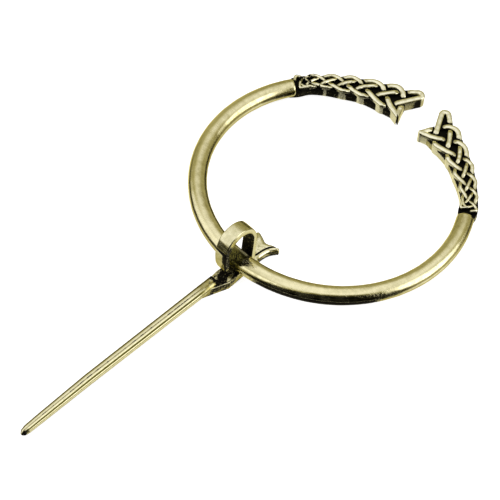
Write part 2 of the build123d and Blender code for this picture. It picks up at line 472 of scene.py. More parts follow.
def towards(azimuth, elevation):
    """Unit vector of a direction: azimuth in degrees from +Y towards +X, elevation in degrees upwards."""
    a, e = np.radians([azimuth, elevation])
    return (float(np.sin(a) * np.cos(e)), float(np.cos(a) * np.cos(e)), float(np.sin(e)))


def lobes(kind):
    """Brightness of each patch of a kind: its strength within the inner angle of its middle, and 0 past the
    outer one, compared as cosines."""
    for patch in (patch for patch in patches if patch["kind"] == kind):
        inputs = {0: direction, 1: towards(patch["azimuth"], patch["elevation"])}
        facing = room.add("ShaderNodeVectorMath", inputs, output="Value", operation="DOT_PRODUCT")
        inner, outer = np.cos(np.radians([patch["inner"], patch["outer"]]))
        yield room.math("MULTIPLY", room.ramp(facing, float(outer), float(inner)), patch["strength"])


up = room.add("ShaderNodeSeparateXYZ", {0: direction}, output="Z")
above = room.ramp(up, *horizon)
sky = room.ramp(up, *ceiling_edge, far_glow, ceiling_glow)
board = room.ramp(up, *board_edge, 0.0, board_glow)
for patch in lobes("low light"):
    board = room.math("ADD", board, patch)
glow = room.math("ADD", room.math("MULTIPLY", above, sky), room.math("ADD", board, seam_glow))
for patch in lobes("soft box"):
    glow = room.math("ADD", glow, room.math("MULTIPLY", patch, above))
for patch in lobes("dark side"):
    glow = room.math("MULTIPLY", glow, room.math("SUBTRACT", 1.0, patch))
seen = room.add("ShaderNodeLightPath", output="Is Camera Ray")
glow = room.add("ShaderNodeMix", {"Factor": seen, 2: glow, 3: backdrop_glow}, output=0, data_type="FLOAT")
tint = room.mix(room.ramp(glow, *tint_edge), warm_light, cool_light)
light = room.add("ShaderNodeBackground", {"Color": tint, "Strength": glow})
room.wire(world.node_tree.nodes.new("ShaderNodeOutputWorld"), {"Surface": light})
print("patches of the room:", len(patches))

# %% [markdown]
# ## Finishes
# The metal is one alloy with three things done to it: a black patina in the low places, bright rubbed metal
# on the high ones, and fine scratches and pits all over. The patina's group also lays on painted shade and
# painted dark reflections, where the masks ask for them. Each effect is a node group, made once. A group
# takes masks that the meshes carry, breaks them up with noise, and gives back masks and normals. The shader
# itself stays in the material. A painted texture would do the same, but it would not follow a changed size.

# %% Patina left by the rubbing, and painted shade


def effect(name, inputs, outputs):
    """Empty node group with named inputs, each with its usual value, and named outputs."""
    tree = bpy.data.node_groups.new(name, "ShaderNodeTree")
    for label, value in inputs.items():
        socket = tree.interface.new_socket(label, in_out="INPUT", socket_type="NodeSocketFloat")
        socket.default_value = value
    for label, kind in outputs.items():
        tree.interface.new_socket(label, in_out="OUTPUT", socket_type=kind)
    nodes = Nodes(tree)
    source = tree.nodes.new("NodeGroupInput")
    result = tree.nodes.new("NodeGroupOutput")
    return tree, nodes, source.outputs, result.inputs


patina_and_shade_group, nodes, given, out = effect(
    "patina_and_painted_shade",
    {"Patina And Shade": 0.0, "Stain": 0.1, "Grain": 3200.0},
    {"Black": "NodeSocketFloat"},
)
spot = nodes.add("ShaderNodeTexCoord", output="Object")
grain = {"Vector": spot, "Scale": given["Grain"], "Detail": 3.0, "Roughness": 0.6}
blotch = nodes.add("ShaderNodeTexNoise", grain)
cloud = nodes.add("ShaderNodeTexNoise", {"Vector": spot, "Scale": 420.0, "Detail": 2.0})
shift = nodes.math("MULTIPLY", nodes.math("SUBTRACT", blotch, 0.5), 1.1)
ragged = nodes.math("ADD", given["Patina And Shade"], shift)
kept = nodes.ramp(ragged, 0.40, 0.60)
film = nodes.math("MULTIPLY", nodes.ramp(cloud, 0.42, 0.70), given["Stain"])
patina_and_shade_group.links.new(nodes.math("MAXIMUM", kept, film), out["Black"])
print("inputs of the patina:", [socket.name for socket in given if socket.name])

# %% Scratches and pits
scratch_group, nodes, given, out = effect(
    "scratches_and_pits",
    {"Scratch": 0.5, "Pit": 0.5, "Scale": 1.0},
    {"Roughening": "NodeSocketFloat", "Normal": "NodeSocketVector"},
)
spot = nodes.add("ShaderNodeTexCoord", output="Object")
streak_scale = (250.0, 6000.0, 2500.0)
lines = 0.0
for turn in (12, 71, 133):
    turned = {"Vector": spot, "Rotation": (0.3, 0.5, float(np.radians(turn))), "Scale": streak_scale}
    mapped = nodes.add("ShaderNodeMapping", turned)
    streak = nodes.add("ShaderNodeTexNoise", {"Vector": mapped, "Scale": given["Scale"], "Detail": 1.0})
    lines = nodes.math("ADD", nodes.ramp(streak, 0.60, 0.72), lines)
pits = nodes.add("ShaderNodeTexNoise", {"Vector": spot, "Scale": 5200.0, "Detail": 2.0})
dents = nodes.math("MULTIPLY", nodes.ramp(pits, 0.62, 0.78), given["Pit"])
depth = nodes.math("ADD", nodes.math("MULTIPLY", lines, given["Scratch"]), dents)
bump_inputs = {"Height": depth, "Distance": 0.00002, "Strength": 0.6}
bump = nodes.add("ShaderNodeBump", bump_inputs, invert=True)
scratch_group.links.new(nodes.math("MINIMUM", depth, 1.0), out["Roughening"])
scratch_group.links.new(bump, out["Normal"])
print("node groups:", [g.name for g in bpy.data.node_groups])

# %% [markdown]
# ## Brass
# Every finish mixes the same three colours: clean pale brass, the olive film that handling leaves, and the
# black. What differs is how far a part was rubbed. The strands are bright on top and black in between, the
# rod is satin, and the pin is somewhere between them. Masks of a mesh say so at each point: low for the
# black, film for the olive, rubbed for the clean metal, dim for an even dark tint, and matt for cast skin
# that was never polished. Low, film and dim also carry painted shade and painted dark reflections, and matt
# a painted glint on the rod under the loop. The patina is not metal, so where it covers, the metallic value
# falls and the surface grows rough, and the matt skin does some of that too.

# %% Materials
clean_brass = (0.93, 0.86, 0.47, 1)
pin_clean = (0.93, 0.875, 0.51, 1)
plait_clean = (0.94, 0.90, 0.58, 1)
olive_brass = (0.38, 0.33, 0.10, 1)
dim_brass = (0.10, 0.088, 0.015, 1)
edge_tint = (1.0, 0.92, 0.50, 1)
black_patina = (0.004, 0.0035, 0.0025, 1)
# low, film and dim carry painted shade and painted dark reflections besides patina and olive film; matt also
# carries a painted glint.
mesh_masks = ["low", "film", "rubbed", "dim", "matt"]
mark_roughness, dull_roughness, dull_unmetal, matt_dullness = 0.12, 0.35, 0.75, 0.7
mirror_level = 0.06


def brass(name, clean, film, stain, scratch, pit, smoothness):
    """Antiqued brass. clean is its rubbed colour, film the share of olive on it, and smoothness its roughness
    where it is rubbed."""
    material = bpy.data.materials.new(name)
    material.use_nodes = True
    nodes = Nodes(material.node_tree)
    low, filmed, rubbed, dim, matt = (
        nodes.add("ShaderNodeAttribute", output="Fac", attribute_name=mask) for mask in mesh_masks
    )
    black = nodes.add("ShaderNodeGroup", {"Patina And Shade": low, "Stain": stain}, node_tree=patina_and_shade_group)
    marks = nodes.add("ShaderNodeGroup", {"Scratch": scratch, "Pit": pit}, node_tree=scratch_group)
    spot = nodes.add("ShaderNodeTexCoord", output="Object")
    haze = nodes.add("ShaderNodeTexNoise", {"Vector": spot, "Scale": 900.0, "Detail": 4.0, "Roughness": 0.65})
    unrubbed = nodes.math("SUBTRACT", 1.0, rubbed)
    overall = nodes.math("MULTIPLY", unrubbed, nodes.ramp(haze, 0.3, 0.7, 0.3 * film, film))
    local = nodes.math("MULTIPLY", filmed, nodes.ramp(haze, 0.25, 0.65, 0.55, 1.0))
    colour = nodes.mix(nodes.math("ADD", overall, local, clamp=True), clean, olive_brass)
    colour = nodes.mix(black, nodes.mix(dim, colour, dim_brass), black_patina)
    worn = nodes.ramp(haze, 0.3, 0.8, smoothness, smoothness + 0.08)
    rough = nodes.math("ADD", worn, nodes.math("MULTIPLY", marks, mark_roughness))
    dull = nodes.math("ADD", black, nodes.math("MULTIPLY", matt, matt_dullness))
    nodes.wire(material.node_tree.nodes["Principled BSDF"], {
        "Base Color": colour,
        "Roughness": nodes.math("ADD", rough, nodes.math("MULTIPLY", dull, dull_roughness), clamp=True),
        "Metallic": nodes.math("SUBTRACT", 1.0, nodes.math("MULTIPLY", dull, dull_unmetal), clamp=True),
        "Normal": marks.node.outputs["Normal"],
        "Specular IOR Level": mirror_level,
        "Specular Tint": edge_tint,
    })
    print(name, "is made")
    return material


rod_brass = brass("rod_brass", clean_brass, film=0.40, stain=0.04, scratch=0.45, pit=0.35, smoothness=0.08)
plait_brass = brass("plait_brass", plait_clean, film=0.10, stain=0.03, scratch=0.35, pit=0.3, smoothness=0.12)
pin_brass = brass("pin_brass", pin_clean, film=0.35, stain=0.04, scratch=0.5, pit=0.4, smoothness=0.10)

# %% [markdown]
# ## Hoop
# The hoop is a round rod bent nearly into a circle, a little thinner towards its ends. Each end is a rounded
# shoulder behind its terminal, and the right one stops sooner. It could be a bevelled curve, but a grid of
# turns round the ring and turns round the rod lets the thickness change along it and gives the casting its
# slight unevenness. Light and shade are painted on it too: an arc of the outer side is painted black and a
# band of the inner side olive, for the dark room that it reflects, and under the loop the rod is painted
# dark, for the loop's shadow and reflection, but for one painted glint along it.

# %% Sizes of the hoop
hoop_stations, hoop_around, shoulder_steps = 560, 56, 8
left_end_on, right_end_on = 0.25, -0.45
wobble_height = 0.018
wobble_from, wobble_to = 1.0, 1.8
hoop_half = np.pi - gap_half - terminal_turn
left_half, right_half = hoop_half + left_end_on / ring_radius, hoop_half + right_end_on / ring_radius
print("the hoop turns", round(np.degrees(left_half + right_half), 1), "degrees")

# %% Shape of the hoop
hoop_run = np.linspace(-1, 1, hoop_stations)
hoop_diameter = rod_d_end + (rod_d_back - rod_d_end) * (1 - np.abs(hoop_run))
shoulder_turns = np.linspace(0, np.pi / 2, shoulder_steps + 1)[1:]
stub = rod_d_end / 2 - rod_shoulder * (1 - np.cos(shoulder_turns))
shoulder_reach = rod_shoulder * np.sin(shoulder_turns) / ring_radius
along_rod = np.interp(hoop_run, [-1, 0, 1], [-left_half, 0, right_half])
left_shoulder, right_shoulder = -left_half - shoulder_reach[::-1], right_half + shoulder_reach
turn_round = np.concatenate([left_shoulder, along_rod, right_shoulder])[:, None]
rod_radius = np.concatenate([stub[::-1], hoop_diameter / 2, stub])[:, None]
rod_turn = (np.arange(hoop_around) + 0.5) * 2 * np.pi / hoop_around
rod_up, rod_out = np.cos(rod_turn), np.sin(rod_turn)
ring_turn = gap_axis + np.pi + turn_round
outward = np.stack([np.cos(ring_turn), np.sin(ring_turn)], axis=-1)
wobble = wobble_height * unevenness(3, ring_turn * 9 / np.pi, rod_up * 0.3, rod_out * 0.3)
thick = rod_radius + wobble * smooth(rod_radius, wobble_from, wobble_to)
hoop_rings = in_space(outward * (ring_radius + thick * rod_out)[..., None], thick * rod_up)
print("the rod is", round(2 * float(rod_radius.max()), 2), "mm thick at the head")

# %% Finish of the hoop
head_turn = 1.5 * np.pi
# Where round the rod the painted glint under the loop runs, and how wide it is.
painted_glint_turn, painted_glint_width = 5.75, 0.30
# Middle and half width of the arc of the outer side that is painted black, a painted dark reflection.
painted_dark_middle, painted_dark_half = np.radians([307, 33])
past_end = np.maximum(-turn_round - left_half, turn_round - right_half) * ring_radius
from_head = (ring_turn - head_turn) * ring_radius
end_depth = smooth(past_end, 0.15, 0.55)
near_end = smooth(past_end, -7.0, -0.6) * (1 - smooth(past_end, -0.5, -0.2))
underside = smooth(-rod_up, 0.05, 0.75)
# Painted dark reflection: an arc of the rod's outer side, right of the head, is painted black where the dark
# side of the room shows in it.
painted_dark_arc = smooth(np.abs(ring_turn - painted_dark_middle), painted_dark_half, 0.6 * painted_dark_half)
black_side = painted_dark_arc * smooth(rod_out, -0.2, 0.3) * smooth(rod_up, 0.28, 0.06)
# Painted dark reflection: a band along the rod's inner side is tinted olive.
painted_inner_band = smooth(-rod_out, 0.60, 0.90) * smooth(rod_up, -0.2, 0.4)
streaks = smooth(unevenness(31, ring_turn * 4 / np.pi, rod_out * 1.2), -0.3, 0.6) * smooth(rod_up, 0.2, 0.7)
# Painted glint: one bright matt line along the rod under the loop, kept free of black and olive.
painted_glint = bell(rod_turn, painted_glint_turn, painted_glint_width)
# Painted shade: near the head the rod is painted dark and olive, for the loop's shadow and its reflection in
# the rod.
painted_loop_shade = smooth(np.abs(from_head - 0.1), 2.0, 1.5) * (1 - painted_glint)
painted_loop_shade_olive = smooth(np.abs(from_head), 2.6, 1.6) * (1 - painted_glint)
hoop_masks = {
    "low": highest(end_depth, 0.62 * underside, 0.85 * black_side, 0.50 * painted_loop_shade),
    "film": highest(0.35 * painted_inner_band + 0.2 * near_end + 0.25 * streaks, painted_loop_shade_olive),
    "rubbed": 0.6 * smooth(rod_up, 0.3, 1.0) * smooth(rod_out, -0.2, 0.3),
    "dim": 0.97 * painted_loop_shade,
    "matt": smooth(np.abs(from_head), 1.8, 1.4) * painted_glint,
}
add_piece("hoop", [(hoop_rings, hoop_masks)], "ring", rod_brass)

# %% [markdown]
# ## Rows of the plait
# The plait is written down as a short table, one line for each row of crossings from the gap to the hoop. It
# says where the middle strands cross, and where and how far the strand on each edge swings out.

# %% The plait's rows
plait = records(
    "middle outer_at outer inner_at inner",
    (0.097, 0.038, 0.80, 0.063, 0.83),
    (0.251, 0.203, 0.62, 0.244, 0.67),
    (0.428, 0.365, 0.46, 0.430, 0.51),
    (0.575, 0.527, 0.40, 0.588, 0.46),
    (0.718, 0.677, 0.37, 0.733, 0.33),
    (0.850, 0.813, 0.38, 0.852, 0.25),
    (0.928, 0.939, 0.42, 0.946, 0.31),
)
last = len(plait) - 1
side_crossing = 0.68
arch = records("along across", (0.010, 0.75), (0.042, 0.935))
notch_at = 0.080
floor_stop = 1.022
floor_z = half_thick - relief_height


def swing(row, out):
    """How far an edge strand swings out: a share of the end's half width, negative on the inner edge."""
    return out * plait[row]["outer" if out > 0 else "inner"] * end_half_width


def swing_at(row, out):
    """Share along the terminal where it does."""
    return plait[row]["outer_at" if out > 0 else "inner_at"]


def flank(row, out, side):
    """Where an edge strand crosses a middle one, halfway from a middle crossing to the next swing."""
    along = (plait[row]["middle"] + swing_at(row + 1, out)) / 2
    return place(along, side_crossing * (swing(row, out) + swing(row + 1, out)) / 2, side)


def strand_width(row):
    """Width of a row's strands, which thin evenly from the gap to the hoop."""
    return strand_wide + (strand_narrow - strand_wide) * plait[row]["middle"]


print("rows of the plait:", len(plait))

# %% [markdown]
# ## Floor of the terminals
# Under the plait lies a flat plate with the black patina left on it. It is a grid too: along the terminal,
# and across from its inner edge to its outer one, which are smooth lines just inside the ribs. The end at the
# gap has a notch, so the share along where the grid starts is worked out for each point across. On the left
# terminal the wall towards the ring's middle is bright beside the ribs and dark between them, and on the
# right one it was rubbed clean all along, with patches of olive.

# %% Floor
floor_stations = 160
floor_lift, floor_rounding = 0.05, 0.06
ribs = records("row dark bright", (1, 1.05, 0.6), (2, 1.05, 0.6), (3, 1.05, 0.6), (4, 0.45, 0.2))


def floor_edge(out, u):
    """Distance of the floor's edge at shares along: a smooth line through the swings, a margin wider."""
    rows = [[swing_at(0, out), swing(0, out) - out * floor_margin]]
    rows += [[swing_at(row, out), swing(row, out) + out * wall_margin] for row in range(1, last + 1)]
    rows.append([floor_stop, out * floor_root_half_width])
    line = bend_through(np.array(rows) * [terminal_length, 1], 240)
    return np.interp(u, line[:, 0] / terminal_length, line[:, 1])


def core_shell(side):
    """The floor's bar between its two edges, and its masks: black on top, and walls by side."""
    u = np.linspace(0, 1, floor_stations)
    underside = floor_lift - half_thick
    share, height = bar_section(np.ones_like(u), floor_z, underside, floor_rounding, floor_rounding, 0)
    corner_at = np.where(share > 0, swing_at(0, 1), swing_at(0, -1))
    start = notch_at + (corner_at - notch_at) * np.abs(share)
    along = start + u[:, None] * (floor_stop - start)
    inner, outer = floor_edge(-1, along), floor_edge(1, along)
    rings = in_space(place(along, inner + (outer - inner) * (share + 1) / 2, side), height)
    wall = smooth(floor_z - height, 0.02, 0.12)
    inner_wall = wall * (share < 0)
    if side > 0:
        bright = smooth(along, 0.14, 0.11)
        for rib in ribs:
            from_rib = np.abs(along - swing_at(rib["row"], -1)) * terminal_length
            bright = np.maximum(bright, smooth(from_rib, rib["dark"], rib["bright"]))
        wall_low, wall_film, wall_matt = 0.70 - 0.66 * bright, 0.8 - 0.75 * bright, 0.5 * bright
    else:
        patches = smooth(unevenness(40, along * 3.1), 0.1, 0.45)
        wall_low, wall_film, wall_matt = 0.16, 0.15 + 0.75 * patches, 0.3
    low = 1 - inner_wall * (1 - wall_low) - 0.45 * wall * (share > 0)
    return rings, {"low": low, "film": inner_wall * wall_film, "matt": inner_wall * wall_matt}


for side, name in ((1, "terminal_floor_left"), (-1, "terminal_floor_right")):
    add_piece(name, [core_shell(side)], "ring", plait_brass)

# %% [markdown]
# ## Plait
# Four strands cross over and under each other down the terminal. The edge strands run down its side as ribs,
# and the middle ones stand on the floor. Each strand shows as a bar that passes over one neighbour and dips
# under the next, where it ends against that neighbour's side. So the table of crossings is all that the plait
# needs: a strand is a line through crossings, and both its ends are cut along the strand that covers them.
# At the inner corner beside the gap two strands meet, in a point on the left terminal and in a round end on
# the right one.

# %% How a strand ends
seam = 0.12
dip, dip_run = 0.34, 1.1
far_row_shrink = 0.45
least_tuck_sine = 0.5


def row_share(row):
    """The seams and dips shrink from the gap to the hoop, where the crossings run together."""
    return 1 - far_row_shrink * plait[row]["middle"]


def tuck(crossing, towards_point, cover, row):
    """End of a strand, a seam away from the side of the strand that covers it. The step back from the
    crossing is that half width divided by the sine of the angle between the two strands."""
    back = (towards_point - crossing) / np.linalg.norm(towards_point - crossing)
    cover = cover / np.linalg.norm(cover)
    sine = abs(back[0] * cover[1] - back[1] * cover[0])
    return crossing + back * (strand_width(row) / 2 + seam * row_share(row)) / max(sine, least_tuck_sine)


def strand(points, row, start, stop, base=False, sharp=False, tip=False):
    """One strand: its points, its row, and the direction of what covers its start and its end, or None. One
    with a base runs down to the base, a sharp one has round corners, and a tip one starts at the corner."""
    return dict(points=points, row=row, start=start, stop=stop, base=base, sharp=sharp, tip=tip)


print("seams from the gap to the hoop:", [round(seam * row_share(row), 3) for row in range(last + 1)])

# %% Lines of the strands
turn_back = {"along": 0.962, "across": 0.16}


def strand_lines(side):
    """The strands of one terminal: the edge ones, the middle ones, then the arch, the gap's edge and the last
    bar, which turn sharply."""
    middles = [place(row["middle"], 0, side) for row in plait]
    outer, inner = (
        [place(swing_at(row, out), swing(row, out), side) for row in range(last + 1)] for out in (1, -1)
    )
    outer_flank, inner_flank = ([flank(row, out, side) for row in range(last)] for out in (1, -1))
    bar_way = [inner_flank[0] - middles[0]]
    bar_way += [inner_flank[row] - outer_flank[row - 1] for row in range(1, last)]
    bar_way.append(inner[last] - outer_flank[last - 1])
    outer_way = [outer[row + 1] - middles[row] for row in range(last)]
    inner_way = [middles[row + 1] - inner[row] for row in range(last)]
    lines = []
    for row in range(last):
        points = [tuck(middles[row], outer_flank[row], bar_way[row], row), outer_flank[row], outer[row + 1]]
        if row + 1 < last:
            stop = outer_way[row + 1]
            points.append(tuck(outer_flank[row + 1], outer[row + 1], stop, row + 1))
        else:
            stop = None
            points.append(place(turn_back["along"], turn_back["across"] * end_half_width, side))
        lines.append(strand(points, row, bar_way[row], stop, base=row + 1 < last))
        start, points = None, [inner[0]]
        if row > 0:
            start = inner_way[row - 1]
            points = [tuck(inner_flank[row - 1], inner[row], start, row), inner[row]]
        points += [inner_flank[row], tuck(middles[row + 1], inner_flank[row], bar_way[row + 1], row + 1)]
        lines.append(strand(points, row, start, bar_way[row + 1], base=True, tip=row == 0))
    for row in range(1, last):
        start, stop = outer_way[row - 1], inner_way[row]
        points = [tuck(outer_flank[row - 1], middles[row], start, row), middles[row]]
        points.append(tuck(inner_flank[row], middles[row], stop, row))
        lines.append(strand(points, row, start, stop))
    turns = [place(corner["along"], corner["across"] * end_half_width, side) for corner in arch]
    points = [tuck(inner_flank[0], middles[0], inner_way[0], 0), middles[0], *turns]
    points.append(tuck(outer_flank[0], turns[-1], outer_way[0], 0))
    lines.append(strand(points, 0, inner_way[0], outer_way[0], base=True, sharp=True))
    points = [inner[0], tuck(middles[0], inner[0], bar_way[0], 0)]
    lines.append(strand(points, 0, None, bar_way[0], base=True, tip=True))
    points = [tuck(outer_flank[last - 1], middles[last], outer_way[last - 1], last)]
    points += [middles[last], inner[last], inner[last - 1]]
    lines.append(strand(points, last, outer_way[last - 1], None, sharp=True))
    return lines


print("strands on a terminal:", len(strand_lines(1)))

# %% Line of a strand
strand_stations, sharp_stations = 56, 96
sharp_reaches = [0.5, 0.75, 0.75]
most_lean, least_lean_sine = 1.2, 0.2


def strand_line(strand, round_tip):
    """Line of a strand, evenly spaced. A sharp one keeps straight legs, and the others bend through their
    points. A round tip starts half a width before its corner."""
    points = np.array(strand["points"])
    if strand["sharp"]:
        return round_corners(points, sharp_reaches, sharp_stations)
    line = bend_through(points, strand_stations) if len(points) > 2 else resample(points, strand_stations)
    if round_tip:
        start = line[:1] - strand_width(strand["row"]) / 2 * directions(line)[:1]
        line = resample(np.vstack([start, line]), strand_stations)
    return line


def mitre(way, cover):
    """How far the end leans along the strand for each step across it: the cotangent of the angle between
    the strand and the one that covers it."""
    if cover is None:
        return 0.0
    cover = cover / np.linalg.norm(cover)
    crossed = way[0] * cover[1] - way[1] * cover[0]
    return np.clip((way @ cover) / crossed, -most_lean, most_lean) if abs(crossed) > least_lean_sine else 0.0


print("points on a strand's line:", len(strand_line(strand_lines(1)[0], False)))

# %% Finish of a strand
inside_points = records("nearest ahead", (0.08, 0.03), (0.12, 0.06))


def facing_out(line, along, beside, share, side):
    """How squarely a point faces out of the terminal: the share across times the cosine between the sideways
    direction and the way from a point on the terminal's middle. The higher of two such points counts."""
    ways = [line - place(np.maximum(along, p["nearest"]) + p["ahead"], 0, side) for p in inside_points]
    cosines = [np.sum(way * beside, axis=1) / np.linalg.norm(way, axis=1) for way in ways]
    return highest(*(cosine[:, None] * share for cosine in cosines))


def strand_masks(strand, side, order, along, run, across, share, below, hidden, facing):
    """How black, olive, rubbed and matt a strand is. Its sides are black, except for the terminal's outer
    wall, and so is an end that goes under. Other ends and some blotches are olive."""
    left_root = (side > 0) * smooth(along, 0.50, 0.62) * smooth(along, 0.95, 0.80)
    bright_wall = strand["base"] * smooth(facing, 0.25, 0.60) * (1 - hidden) * (1 - 0.5 * left_root)
    deep = smooth(below, 0.3, 0.5)
    corner_seam = (strand["tip"] and side > 0) * smooth(run, 0.10, 0.03) * deep
    ends = smooth(np.minimum(run, run[-1] - run), 1.5, 0.3)
    blotches = smooth(unevenness(order + 80, run / 2, across / 1.5), 0.0, 0.5)
    film = 0.42 * ends + 0.10 * smooth(np.abs(share), 0.55, 0.9) + 0.30 * blotches
    worn_root = (side > 0) * smooth(along, 0.62, 0.80) * blotches
    black_side = smooth(below, 0.09, 0.28) * (1 - bright_wall)
    return {
        "low": highest(black_side, 0.75 * hidden, corner_seam, 0.60 * worn_root),
        "film": highest(film * (1 - bright_wall), 0.7 * (strand["base"] and strand["sharp"]) * deep),
        "rubbed": smooth(below, 0.20, 0.02),
        "matt": 0.5 * bright_wall * deep,
    }


print("facing is measured from", len(inside_points), "points inside")

# %% Plait
tip_mitre = {1: 1.2, -1: 0.0}
tip_away_from = 0.18
blunt_tip = 0.91
lean_run = 0.8
least_width, width_waver, width_wave = 0.97, 0.06, 4
height_waver, height_wave = 0.03, 3
root_depth = 0.1
bar_rounding, bar_base_rounding, bar_crown = 0.21, 0.12, 0.12


def strand_shell(strand, side, order):
    """One strand: a bar whose top sinks by dip over dip_run towards an end that goes under, and whose ends
    lean by the mitre. A round tip narrows to its end as a circle does."""
    round_tip = strand["tip"] and side < 0
    line = strand_line(strand, round_tip)
    way = directions(line)
    beside = np.stack([-way[:, 1], way[:, 0]], axis=-1)
    run = length_so_far(line)
    from_end = run[-1] - run
    under = (strand["start"] is not None) * (1 - smooth(run, 0, dip_run))
    under = under + (strand["stop"] is not None) * (1 - smooth(from_end, 0, dip_run))
    sunk = dip * row_share(strand["row"]) * under
    half_width = strand_width(strand["row"]) / 2
    to_middle = round_tip * blunt_tip * np.clip(1 - run / half_width, 0, 1)
    half_width = half_width * (least_width + width_waver * unevenness(order, run / width_wave))
    half_width = half_width * np.sqrt(1 - to_middle**2)
    top = half_thick - sunk - height_waver * (1 + unevenness(order + 50, run / height_wave))
    bottom = -half_thick if strand["base"] else floor_z - root_depth
    sizes = half_width, top, bottom, bar_rounding, bar_base_rounding, bar_crown, strand_draft
    across, height = bar_section(*sizes)
    first_lean = mitre(way[0], strand["start"])
    if strand["tip"]:
        first_lean = -tip_mitre[side] * np.sign((line[0] - place(tip_away_from, 0, side)) @ beside[0])
    leaning = first_lean * (1 - smooth(run, 0, lean_run))
    leaning = leaning + mitre(way[-1], strand["stop"]) * (1 - smooth(from_end, 0, lean_run))
    flat = line[:, None] + beside[:, None] * across[..., None]
    flat = flat + way[:, None] * (leaning[:, None] * across)[..., None]

    along = (np.abs(np.arctan2(line[:, 1], line[:, 0]) - gap_axis) - gap_half) / terminal_turn
    share = across / half_width[:, None]
    round_end = round_tip * (1 - smooth(run, 0.2, 0.8))[:, None]
    facing = highest(round_end, facing_out(line, along, beside, share, side))
    hidden = smooth(sunk, 0.35 * dip, dip)[:, None]
    below = half_thick - height
    masks = strand_masks(
        strand, side, order, along[:, None], run[:, None], across, share, below, hidden, facing
    )
    return in_space(flat, height), masks


for side, name in ((1, "plait_left"), (-1, "plait_right")):
    shells = [strand_shell(line, side, order) for order, line in enumerate(strand_lines(side))]
    add_piece(name, shells, "ring", plait_brass)

# %% [markdown]
# ## Plate and fishtail
# The pin's plate lies under the rod. Its inner end opens into a small fishtail, its outer end narrows into
# the shank. Seen from above it is a strip between two edges, so it is a grid along and across. The fishtail's
# edge is a short table, and its end, which curves back in the middle, bends the last rows of the grid. Its
# upper rim is a round bevel, with a fine black line inside it on the right, and its lower edge is round too.

# %% Outline of the plate
fishtail = records(
    "along across",
    (0.59, 0.61),
    (0.76, 0.70),
    (0.90, 0.93),
    (0.94, 1.02),
    (1.00, 0.88),
    (0.96, 0.48),
    (0.90, 0.00),
)
tip_row = 3
plate_stations, tail_stations, end_stations = 80, 110, 160


def tail_points(rows, way):
    """Points of the fishtail's outline in the plate's plane, on the near side or the far one."""
    return [[way * row["across"] * tail_half_width - tail_shift, row["along"] * tail_at] for row in rows]


def plate_edge(way, tail):
    """One side of the plate from the shank to the tip of the tail: straight legs, then the smooth tail."""
    root = [way * plate_root_width / 2 - shank_shift, -plate_root_at]
    legs = np.array([root, [way * plate_half_width, -rod_d_back], [way * neck_half_width, neck_at]])
    return np.vstack([resample(legs, plate_stations), resample(tail, tail_stations)[1:]])


near_neck, far_neck = [neck_half_width, neck_at], [-neck_half_width, neck_at]
tail_rim = [near_neck, *tail_points(fishtail, 1), *tail_points(fishtail[-2::-1], -1), far_neck]
tail_rim = bend_through(np.array(tail_rim), 800)
near_tip, far_tip = (
    np.linalg.norm(tail_rim - tail_points([fishtail[tip_row]], way)[0], axis=1).argmin() for way in (1, -1)
)
near_edge = plate_edge(1, tail_rim[:near_tip + 1])
far_edge = plate_edge(-1, tail_rim[:far_tip - 1:-1])
end_edge = resample(tail_rim[far_tip:near_tip - 1:-1], end_stations)
print("the tail ends at", end_edge.max(axis=0).round(2).tolist())

# %% Shape of the plate
bevel_width, bevel_drop = 0.95, 0.80
under_width, under_rise = 0.70, 0.55
line_width, line_depth = 0.20, 0.16
plate_relief = 0.03
plate_rounding, plate_base_rounding = 0.10, 0.06
stations = len(near_edge)
share, plate_height = bar_section(
    np.ones(stations), plate_thick, 0.0, plate_rounding, plate_base_rounding, 0, profile=wide_profile
)
share = np.clip(share, -1, 1)
inwards = (share[..., None] + 1) / 2
flat = far_edge[:, None] * (1 - inwards) + near_edge[:, None] * inwards
end_share = np.linspace(-1, 1, len(end_edge))
end_at = np.stack([np.interp(share, end_share, column) for column in end_edge.T], axis=-1)
to_tip = np.clip((np.arange(stations) - plate_stations) / (stations - 1 - plate_stations), 0, 1)
flat = flat + (end_at - flat[-1:]) * (to_tip**2)[:, None, None]


def distance_to(line):
    """Distance from each point of the plate to the nearest point of a line in its plane."""
    return np.linalg.norm(flat[:, :, None] - line[None, None], axis=-1).min(axis=2)


def quarter_round(distance, width):
    """Drop of a rounded edge as a quarter circle falls: 1 at the rim, 0 a width inside it."""
    return 1 - np.sqrt(1 - np.clip(1 - distance / width, 0, 1) ** 2)


outline = np.vstack([near_edge[plate_stations:], end_edge[::-1], far_edge[:plate_stations:-1]])
to_rim, to_near = distance_to(outline[::2]), distance_to(near_edge[plate_stations::2])
x, y = flat[..., 0], flat[..., 1]
on_tail = smooth(y, neck_at + 0.5, neck_at + 1.6)
on_top = smooth(plate_height, plate_thick - 0.3, plate_thick - 0.08)
bevel = bevel_drop * quarter_round(to_rim, bevel_width) * on_tail * on_top
under_round = under_rise * quarter_round(to_rim, under_width) * on_tail * smooth(plate_height, 0.30, 0.08)
line_in = bell(to_near, bevel_width, line_width) * on_tail * smooth(x, -0.2, 0.4) * on_top
relief = plate_relief * on_top * unevenness(5, x / 2, y / 3)
z = plate_height - bevel + under_round - line_depth * line_in + relief
print("the plate is", round(float(np.ptp(x)), 2), "mm wide and", round(float(np.ptp(y)), 2), "mm long")

# %% Finish of the plate
rim = smooth(np.abs(share), 0.90, 0.985) * on_top
